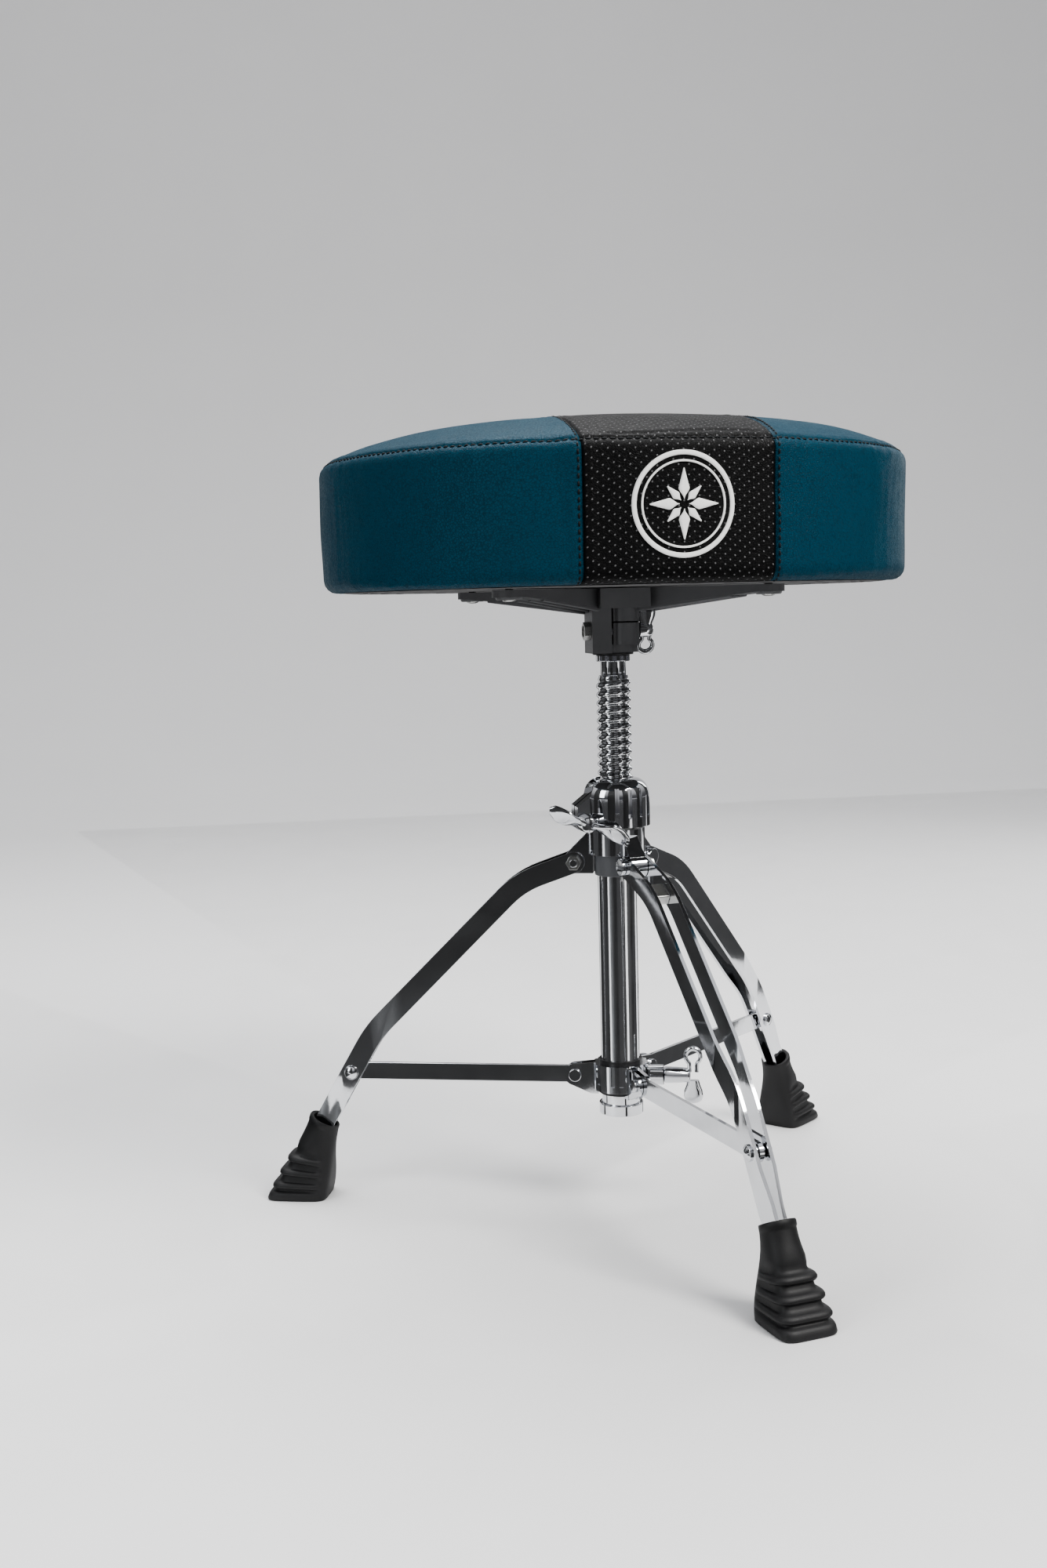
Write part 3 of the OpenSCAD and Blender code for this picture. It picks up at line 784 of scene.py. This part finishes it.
def all_stitches():
    """The row round the rim, and a row beside each edge of the band."""
    steps = RIM_STITCHES * 2
    rim = [cushion_point(SEAM_S - 0.5, 2 * math.pi * k / steps, 0.25) for k in range(steps + 1)]
    stitched("rim_topstitch", rim, RIM_STITCHES)
    for side in (-1, 1):
        x = side * (BAND + 2.1)
        front, back = [], []
        for s in np.arange(16, TOTAL_S, 1.5):
            r = outline_at(float(s))[0]
            if r <= abs(x):
                break
            angle = math.atan2(-math.sqrt(r * r - x * x), x)
            front.append(cushion_point(float(s), angle))
            back.append(cushion_point(float(s), -angle))
        name = "left" if side < 0 else "right"
        stitched(f"band_topstitch_{name}", front + back[::-1])


def wall_point(across, height, lift):
    """A point on the cushion's front wall, across millimetres from its middle."""
    s = SEAM_S - (SEAM_Z - 0.9 - height) - 0.6
    return cushion_point(s, -math.pi / 2 + across / SEAT_R, lift)[0]


def satin(line):
    """Satin stitching along (place, side, half width): a raised band with threads across it."""
    points, columns = [], 7
    for i, (p, side, wide) in enumerate(line):
        ridge = 0.16 if i % 2 else 0.0
        for k in range(columns):
            t = -1 + 2 * k / (columns - 1)
            u, v = p[0] + side[0] * wide * t, p[1] + side[1] * wide * t
            lift = -0.3 if abs(t) > 0.99 else 0.35 + 0.5 * math.sqrt(1 - t * t) + ridge
            points.append(tuple(wall_point(u, v, lift)))
    return points, grid_faces(len(line), columns, closed=False)


def emblem():
    """A plain generic rosette in a ring, embroidered in white thread."""
    middle, ring_r, pitch = 508.0, 31.0, 0.55
    parts = []
    for radius, wide in ((ring_r, 1.7), (ring_r - 5.0, 0.75)):
        steps = int(2 * math.pi * radius / pitch) // 2 * 2
        line = []
        for i in range(steps + 1):
            t = 2 * math.pi * i / steps
            c, s = math.cos(t), math.sin(t)
            line.append(((radius * c, middle + radius * s), (c, s), wide))
        parts.append(satin(line))
    start, step = 3, 0.5
    for k, t in enumerate(around(8)):
        c, s = math.cos(t), math.sin(t)
        tip, broad = (22.0, 3.6) if k % 2 == 0 else (15.5, 2.6)
        line = []
        for i in range(int((tip - start) / step)):
            reach = start + i * step
            f = (reach - start) / (tip - start)
            wide = broad * (smooth(f / 0.35) if f < 0.35 else 1 - (f - 0.35) / 0.65) + 0.25
            line.append(((reach * c, middle + reach * s), (-s, c), wide))
        parts.append(satin(line))
    points, faces = merged(*parts)
    obj = piece("band_emblem", points, faces, "seat", "black_cloth", (), 80, WHITE_THREAD)
    add_skin(obj, 0.25, -1)


def underside():
    """The stretched cloth under the seat with its folded hem, and the staples that hold it."""
    rows = [0.5, 30, 60, 90, 120, 140, 155, 168, 178, 185, 189, 191.5, 193, CLOTH_R]
    sides = 240
    points = []
    for r in rows:
        edge, hem = smooth((r - 165) / 26), 0.35 * bell(r - 188.5, 3.0)
        for t in around(sides):
            c, s = math.cos(t), math.sin(t)
            pucker = 0.28 * edge * noise.noise(Vector((c * 22, s * 22, r / 60)))
            sag = 0.25 * noise.noise(Vector((r * c / 45, r * s / 45, 2)))
            points.append((r * c, r * s, SEAT_Z + 0.75 - hem + pucker * 0.6 + sag * 0.4))
    faces = grid_faces(len(rows), sides)
    faces.append(tuple(range(sides)))
    cloth = piece("underside_cloth_sheet", points, faces, "seat", "black_cloth",
                  ("underside_cloth",), 70)
    add_skin(cloth, 0.5, 1)
    parts, staples = [], 44
    wire = [(-5, 1.4), (-5, 0.2), (-4.6, -0.1), (0, -0.14), (4.6, -0.1), (5, 0.2), (5, 1.4)]
    for k in range(staples):
        t = 2 * math.pi * (k + 0.5) / staples
        lean = 0.22 * noise.noise(Vector((k * 1.7, 0, 0)))
        out = Vector((math.cos(t), math.sin(t), 0))
        along = Vector((-math.sin(t + lean), math.cos(t + lean), 0))
        centre = out * 180 + UP * (SEAT_Z + 0.8)
        sections = [
            (centre + along * u + UP * h, out * 0.5, (UP if abs(u) < 4.9 else along) * 0.28)
            for u, h in wire
        ]
        parts.append(sweep(sections, 8, 4))
    points, faces = merged(*parts)
    # The staples take the near-black steel as painted shade.
    piece("underside_staples", points, faces, "seat", "zinc_steel", (), 50, STEEL_DARKENED_FOR_SHADE)


# ---------------------------------------------------------------- hardware

def helical_spindle():
    """The threaded rod with a true helix, its ring, neck and top pin."""
    bottom, top, sides, root = 218.0, 396.0, 60, 10.85
    thread_form = [(0.0, root), (0.1, 10.95), (0.22, 11.7), (0.34, 12.5), (0.44, 12.7),
                   (0.56, 12.7), (0.68, 12.45), (0.8, 11.6), (0.92, 10.95)]
    turns = int((top - bottom) / THREAD_PITCH) + 2
    points = []
    for turn in range(-1, turns):
        for share, radius in thread_form:
            base = bottom + (turn + share) * THREAD_PITCH
            for k in range(sides):
                t = k / sides
                z = base + t * THREAD_PITCH
                ends = smooth((z - bottom) / 5) * smooth((top - z) / 4)
                r = root + (radius - root) * ends
                z = min(max(z, bottom), top)
                a = 2 * math.pi * t
                points.append((r * math.cos(a), r * math.sin(a), z))
    per_turn = len(thread_form)
    rows = per_turn * (turns + 1)
    faces = []
    for i in range(rows - 1):
        for j in range(sides):
            a, b = i * sides + j, (i + 1) * sides + j
            if j < sides - 1:
                faces.append((a, a + 1, b + 1, b))
            elif i + per_turn + 1 < rows:
                up, far = (i + per_turn) * sides, (i + per_turn + 1) * sides
                faces.append((a, up, far, b))
    helix = (points, faces)
    neck = lathe([(0.1, top - 3), (10.2, top - 3), (root, top - 2), (root, top - 0.2),
                  (9.5, top + 1.2), (9.3, 406.6), (9.5, 407.2), (12.0, 407.4), (12.5, 407.9),
                  (12.5, 411.5), (12.0, 412), (11.0, 412.1), (11.0, 447.5), (10.6, 448),
                  (0.1, 448)])
    journal = lathe([(0.1, 190), (9.2, 190), (9.9, 190.7), (9.9, 216), (10.7, 217),
                     (10.7, 219.5), (0.1, 219.5)])
    core = lathe([(0.1, 216), (10.6, 216), (10.6, top + 1), (0.1, top + 1)])
    points, faces = merged(helix, neck, journal, core)
    piece("spindle_threaded", points, faces, "screw", "chrome", ("spindle",), 42)


def boot(index, leg):
    """A ribbed rubber boot: a round mouth with a lip, flaring to a rectangular sole."""
    sides = 72

    def section(z, grow, inward=0.0):
        """One ring of points; grow is how far a rib stands out there, in mm."""
        t = z / BOOT_MOUTH.z
        centre = BOOT_SOLE.lerp(BOOT_MOUTH, t)
        lean = math.radians(BOOT_TILT) * t ** 1.5
        power = 5.5 + (2.0 - 5.5) * smooth(t / 0.85)
        taper = smooth(t / 1.02) ** 0.82
        length = 24.0 + (13.0 - 24.0) * taper
        width = 20.5 + (13.0 - 20.5) * taper
        ring = []
        for a in around(sides):
            u, v = squircle(a, power)
            outer = smooth((math.cos(a) + 0.55) / 0.7)
            reach = grow * outer - 1.3 - inward
            x, y = u * (length + reach), v * (width + reach)
            ring.append((centre.x + x * math.cos(lean), y, centre.z + x * math.sin(lean)))
        return ring

    profile = [(0.0, -0.4), (0.6, 0.8), (1.6, 1.3), (4.4, 1.3), (5.6, 1.0), (6.4, 0.2),
               (6.8, -1.4), (7.7, -1.8)]
    rib = [(0.0, -1.5), (0.4, 0.2), (1.3, 1.3), (2.5, 1.75), (3.7, 1.3), (4.6, 0.2),
           (5.0, -1.5), (7.0, -1.9)]
    for low in (8.6, 17.8, 27.0):
        profile += [(low + z, grow) for z, grow in rib]
    profile += [(36.5, -0.9), (40, 0.0), (45, 0.0), (50, 0.0), (54, 0.1), (55.4, 0.2),
                (56.2, 0.8), (58.8, 0.9), (59.6, 0.4)]
    lining = [(59.8, 1.2), (59.4, 2.1), (56, 2.6), (46, 3.0), (42, 3.2)]
    rings = [section(z, grow) for z, grow in profile]
    rings += [section(z, 0.0, inward) for z, inward in lining]
    body = [p for ring in rings for p in ring], capped_faces(len(rings), sides)
    grooves = []
    for k in range(5):
        x = BOOT_SOLE.x - 17 + k * 8.5
        sections = [((x, y, 0.35), (1.3, 0, 0), (0, 0, 0.35)) for y in (-15, -14, 14, 15)]
        grooves.append(sweep(sections, 8, 4))
    points, faces = placed(merged(body, *grooves), leg_turn(index))
    piece(f"{leg}_boot", points, faces, f"{leg}_leg", "rubber", (f"{leg}_foot",), 50)


def plate_screws():
    """Pan-head screws with a cross recess, threaded up into the tee nuts."""
    head = [(0.1, 0.0), (2.2, 0.05), (3.9, 0.5), (5.0, 1.4), (5.45, 2.6), (5.5, 3.2), (3.1, 3.25)]
    shank = []
    for k in range(16):
        shank += [(2.55, 4 + k * 1.1), (2.95, 4.45 + k * 1.1), (2.95, 4.6 + k * 1.1)]
    for i, (x, y) in enumerate(((-1, -1), (1, -1), (-1, 1), (1, 1))):
        place = Matrix.Translation((x * SCREW_XY, y * SCREW_XY, SEAT_Z - 8.2))
        points, faces = lathe(head + shank + [(2.5, 21.8), (0.1, 22)], place, 40)
        stands_for = ("plate_screws",) if i == 0 else ()
        obj = piece(f"plate_screw_{i + 1}", points, faces, "seat", "zinc_steel", stands_for, 32)
        cut_recess(obj, place @ Matrix.Rotation(0.7 * i + 0.3, 4, "Z"))


def cut_recess(obj, place):
    """Cuts a cross recess into a screw's head."""
    slots = []
    for direction in (Vector((1, 0, 0)), Vector((0, 1, 0))):
        other = Vector((-direction.y, direction.x, 0))
        slots.append(sweep([((0, 0, -1), direction * 2.9, other * 0.75),
                            ((0, 0, 1.9), direction * 1.3, other * 0.55)], 4, 40))
    cutter = new_object("recess", mesh_from("recess", *placed(merged(*slots), place)))
    recess = obj.modifiers.new("recess", "BOOLEAN")
    recess.operation = "DIFFERENCE"
    recess.solver = "EXACT"
    recess.use_self = True
    recess.object = cutter
    bpy.context.view_layer.update()
    shaped = obj.evaluated_get(bpy.context.evaluated_depsgraph_get())
    obj.data = bpy.data.meshes.new_from_object(shaped)
    obj.modifiers.clear()
    bpy.data.objects.remove(cutter)


def blade_wing(base, up, axis, height, width):
    """A solid wing of a wing bolt, from its root on the boss."""
    side = up.cross(axis).normalized()
    shape = [(0.0, 0.30, 2.6), (0.2, 0.36, 2.4), (0.45, 0.47, 2.0), (0.7, 0.5, 1.7),
             (0.88, 0.42, 1.5), (0.97, 0.25, 1.2), (1.0, 0.08, 0.7)]
    sections = [(base + up * height * t, axis * width * w, side * k) for t, w, k in shape]
    return sweep(sections, 20, 2.4)


def loop_wing(base, up, axis, height, width):
    """A wing bent from rod as an open loop."""
    side = up.cross(axis).normalized()
    path, thick = [], []
    count = 30
    for i in range(count + 1):
        a = math.pi * (-0.36 + 1.72 * i / count)
        u = math.cos(a) * width * 0.38
        v = height * 0.58 + math.sin(a) * height * 0.36
        squeeze = 1 - 0.25 * smooth((0.5 - v / height) / 0.5)
        path.append(base + axis * u * squeeze + up * v)
        thick.append(1.75 + 0.5 * bell(i - count / 2, 8))
    path[0] = base + axis * width * 0.18 - up * 1.5
    path[-1] = base - axis * width * 0.18 - up * 1.5
    sections = []
    for i, p in enumerate(path):
        ahead = (path[min(i + 1, count)] - path[max(i - 1, 0)]).normalized()
        sections.append((p, ahead.cross(side).normalized() * thick[i] * 0.85, side * thick[i]))
    return sweep(sections, 14, 2.2)


def bolt(reach, boss_r, boss_h):
    """An M8 bolt along Z, threaded up to reach, with its boss above that."""
    line = [(0.1, 0.0), (3.2, 0.0), (3.9, 0.8)]
    z = 1.0
    while z < reach - 1.5:
        line += [(3.5, z), (3.98, z + 0.45), (3.98, z + 0.7), (3.5, z + 1.2)]
        z += 1.25
    end = reach + boss_h
    line += [(3.9, reach - 0.3), (boss_r - 0.7, reach), (boss_r, reach + 0.7),
             (boss_r * 0.96, reach + boss_h * 0.5), (boss_r * 0.86, end - 0.9),
             (boss_r * 0.7, end), (0.1, end + 0.4)]
    return lathe(line, None, 40)


def hub_wing():
    """The bolt that closes the casting's socket: a blade above, a loop below."""
    root, along = Vector((19.0, HUB_BOLT.y, HUB_BOLT.z)), Vector((1, 0, 0))
    lean = Matrix.Rotation(math.radians(12), 4, "X").to_3x3() @ UP
    points, faces = merged(
        placed(bolt(38.4, 5.5, 10), turned_to(along, HUB_BOLT)),
        blade_wing(root + lean * 3, lean, along, 14.0, 13.5),
        loop_wing(root - lean * 3, -lean, along, 14.0, 13.5),
    )
    piece("hub_wing_bolt_formed", points, faces, "hub_wing", "chrome", ("hub_wing_bolt",), 40)


def upper_wing():
    """The bolt through the upper clamp's ears, with two long twisted blades."""
    front, length, count = Vector((0, -1, 0)), 27.5, 14
    parts = [placed(bolt(33, 6.5, 15.5), turned_to(front, UPPER_BOLT))]
    for way in (-1, 1):
        swept = math.radians(18)
        out = Vector((way * math.cos(swept), 0, -way * math.sin(swept)))
        sections = []
        for i in range(count + 1):
            t = i / count
            twist = math.radians(78 - 52 * smooth(t * 1.1))
            flat = (front * math.sin(twist) + UP * math.cos(twist)).normalized()
            centre = Vector((UPPER_BOLT.x, -26.5 - 3.5 * math.sin(t * 2.2), UPPER_BOLT.z))
            centre += out * (3 + length * t) - UP * 2.6 * t * t * way
            belly = 0.8 + 0.35 * math.sin(math.pi * min(t * 1.05, 1))
            wide = 7.0 * belly * (1 - smooth((t - 0.86) / 0.16) * 0.6)
            thick = flat.cross(out).normalized() * (2.3 - 0.8 * t)
            sections.append((centre, flat * wide, thick))
        parts.append(sweep(sections, 20, 2.6))
    points, faces = merged(*parts)
    piece("upper_wing_bolt_formed", points, faces, "upper_wing", "chrome", ("upper_wing_bolt",), 40)


def lower_wing():
    """The bolt that clamps the collar to the tube: a loop above, a blade below."""
    out = heading(HEADING + 60)
    root = out * 54 + UP * RIVET_Z
    points, faces = merged(
        placed(bolt(18, 6.2, 19), turned_to(out, out * 14.7 + UP * RIVET_Z)),
        loop_wing(root + UP * 4, UP, out, 17.3, 14.5),
        blade_wing(root - UP * 4, -UP, out, 17.3, 14.5),
    )
    piece("lower_wing_bolt_formed", points, faces, "lower_wing", "chrome", ("lower_wing_bolt",), 40)


def hub_ribs():
    """Ribs and screw bosses cast onto the four-arm plate."""
    parts, count, start, end, boss_r = [], 12, 16, 104, 127.28
    pad = [(6.4, -1.9), (8.2, -1.9), (9.0, -1.2), (9.6, 1.0), (6.4, 1.0), (6.4, -1.8)]
    for k in range(4):
        out = heading(45 + 90 * k)
        side = Vector((-out.y, out.x, 0))
        for way in (-1, 0, 1):
            sections = []
            for i in range(count + 1):
                t = i / count
                reach = start + (end - start) * t
                drop = 2.6 * (1 - t) + 1.0
                slope = 446 + (reach - 24) / 102 * 9.0
                spread = way * (11.2 - 0.6 * t)
                centre = out * reach + side * spread + UP * (slope - drop / 2 + 0.6)
                sections.append((centre, side * (1.7 if way else 1.3), UP * (drop / 2 + 0.8)))
            parts.append(sweep(sections, 10, 3))
        boss = Matrix.Translation(out * boss_r + UP * (SEAT_Z - 5))
        parts.append(placed(lathe(pad), boss))
    points, faces = merged(*parts)
    piece("hub_casting_ribs", points, faces, "seat", "cast_grey", (), 35)


def leg_barrels():
    """The domed barrel between a leg's strips at the strut's rivet, as turned parts."""
    dome = [(1.7, 1.55), (4.6, 1.55), (5.15, 1.9), (5.2, 2.6), (4.9, 3.1), (3.4, 3.28), (1.7, 3.3)]
    sleeve = [(1.7, -3.3), (3.15, -3.3), (3.15, 3.3), (1.7, 3.3)]
    for index, leg in enumerate(LEGS):
        level = Matrix.Rotation(math.radians(90), 4, "X")
        pin = leg_turn(index) @ Matrix.Translation((RIVET_R, 0, RIVET_Z)) @ level
        parts = [
            placed(lathe(dome, None, 40), pin @ Matrix.Scale(way, 4, (0, 0, 1)))
            for way in (-1, 1)
        ]
        parts.append(placed(lathe(sleeve, None, 32), pin))
        points, faces = merged(*parts)
        piece(f"{leg}_strut_bush_turned", points, faces, f"{leg}_brace", "chrome",
              (f"{leg}_strut_bush",), 35)


def refined_hardware():
    """Each carried-over metal or plastic part, with how far its edges are rounded in mm."""
    edges = {
        "base_tube": 0.25, "tube_end_cap": 0.6, "leg_ring": 0.7, "ring_sleeve": 0.8,
        "upper_clamp": 0.6, "upper_clamp_nut": 0.5, "leg_pivot_bolts": 0.6,
        "leg_pivot_nuts": 0.5, "lower_collar": 0.55, "collar_liner": 0.4,
        "strut_pivot_pins": 0.5, "hub_casting": 0.9, "hub_bushing": 0.5, "hub_clamp_nut": 0.5,
        "height_nut": 0.3, "spindle_clip": 0.2, "tee_nuts": 0.2, "guide_bush": 0.3,
        "plywood_base": 0.4,
    }
    leg_edges = {"leg_near_strip": 0.75, "leg_far_strip": 0.75, "leg_spacer": 0.8,
                 "leg_rivet": 0.25, "strut": 0.8}
    for leg in LEGS:
        edges.update({f"{leg}_{part}": edge for part, edge in leg_edges.items()})
    for node, edge in edges.items():
        refined(node, edge)


# ---------------------------------------------------------------- stage

def flag(name, points, faces):
    """A black panel that only reflections see, so that the chrome has dark streaks."""
    mesh = bpy.data.meshes.new(name)
    mesh.from_pydata(points, [], faces)
    obj = new_object(name, mesh)
    obj.visible_camera = obj.visible_diffuse = False
    obj.visible_shadow = obj.visible_transmission = False
    s = Shader(name)
    tone = s.mix(s.noise(300), (0.012, 0.012, 0.012), (0.018, 0.018, 0.018))
    mesh.materials.append(s.done(tone, s.noise(300)))


def flags():
    """Dark floor sectors with narrow gaps, which give the tubes streaks, and dark walls."""
    inner, outer, wall, half, top = 0.3, 5.5, 2.1, 0.42, 2.3
    gaps = [(-60, -47), (20, 38), (104, 122), (198, 208)]
    for k, (_, start) in enumerate(gaps):
        end = gaps[(k + 1) % len(gaps)][0] + (360 if k == len(gaps) - 1 else 0)
        arc = [math.radians(a) for a in np.linspace(start, end, 24)]
        points = [(r * math.cos(a), r * math.sin(a), 0.003) for r in (inner, outer) for a in arc]
        flag(f"flag_floor_{k + 1}", points, grid_faces(2, len(arc), closed=False))
    for k in range(7):
        out = heading(-118 + 360 * k / 7)
        side = Vector((-out.y, out.x, 0))
        corners = ((-half, 0), (half, 0), (half, top), (-half, top))
        points = [out * wall + side * u + UP * v for u, v in corners]
        flag(f"flag_wall_{k + 1}", points, [(0, 1, 2, 3)])


def studio():
    """A plain pale floor that curves up behind the object, a pale surround, and soft light."""
    s = Shader("pale_floor")
    tone = s.mix(s.noise(400), (0.8, 0.8, 0.8), (0.84, 0.84, 0.84))
    pale = s.done(tone, s.spread(s.noise(60), 0.5, 0.6))

    near, bend, far, half, top = 2.4, 1.6, 4.0, 7.0, 6.0
    line = [(-6, 0), (near, 0)] + [
        (near + bend * math.sin(a), bend - bend * math.cos(a))
        for a in np.linspace(0.15, math.pi / 2, 9)
    ] + [(far, top)]
    mesh = bpy.data.meshes.new("floor")
    corners = [(x, y, z) for y, z in line for x in (-half, half)]
    mesh.from_pydata(corners, [], grid_faces(len(line), 2, closed=False))
    floor = new_object("floor", mesh)
    mesh.materials.append(pale)
    mesh.shade_smooth()

    sides, lift = 96, 0.002
    bowl = [
        (far + bend * math.sin(a), bend - bend * math.cos(a) + lift)
        for a in np.linspace(0, math.pi / 2, 12)
    ] + [(far + bend, 7.0)]
    mesh = bpy.data.meshes.new("surround")
    rings = [(r * math.cos(a), r * math.sin(a), z) for r, z in bowl for a in around(sides)]
    mesh.from_pydata(rings, [], grid_faces(len(bowl), sides))
    surround = new_object("surround", mesh)
    surround.visible_glossy = surround.visible_diffuse = False
    surround.visible_shadow = surround.visible_transmission = False
    mesh.materials.append(pale)
    mesh.shade_smooth()

    area_light("key", (1.15, -1.35, 2.15), (0, 0, 0.35), (0.9, 1.2), 62, (1, 0.985, 0.96))
    area_light("fill", (-1.9, -1.1, 1.1), (0, 0, 0.3), (0.7, 1.4), 12, (0.95, 0.98, 1))
    area_light("top", (-0.2, 0.6, 2.4), (0, 0, 0.4), (1.5, 1.5), 42)
    area_light("rim", (1.5, 1.3, 0.9), (0, 0, 0.3), (0.3, 1.4), 5)


set_camera()
make_world()
studio()
flags()
cover_panels()
foam_core()
all_stitches()
emblem()
underside()
helical_spindle()
plate_screws()
hub_wing()
upper_wing()
lower_wing()
hub_ribs()
leg_barrels()
for leg_index, leg_name in enumerate(LEGS):
    boot(leg_index, leg_name)
refined_hardware()
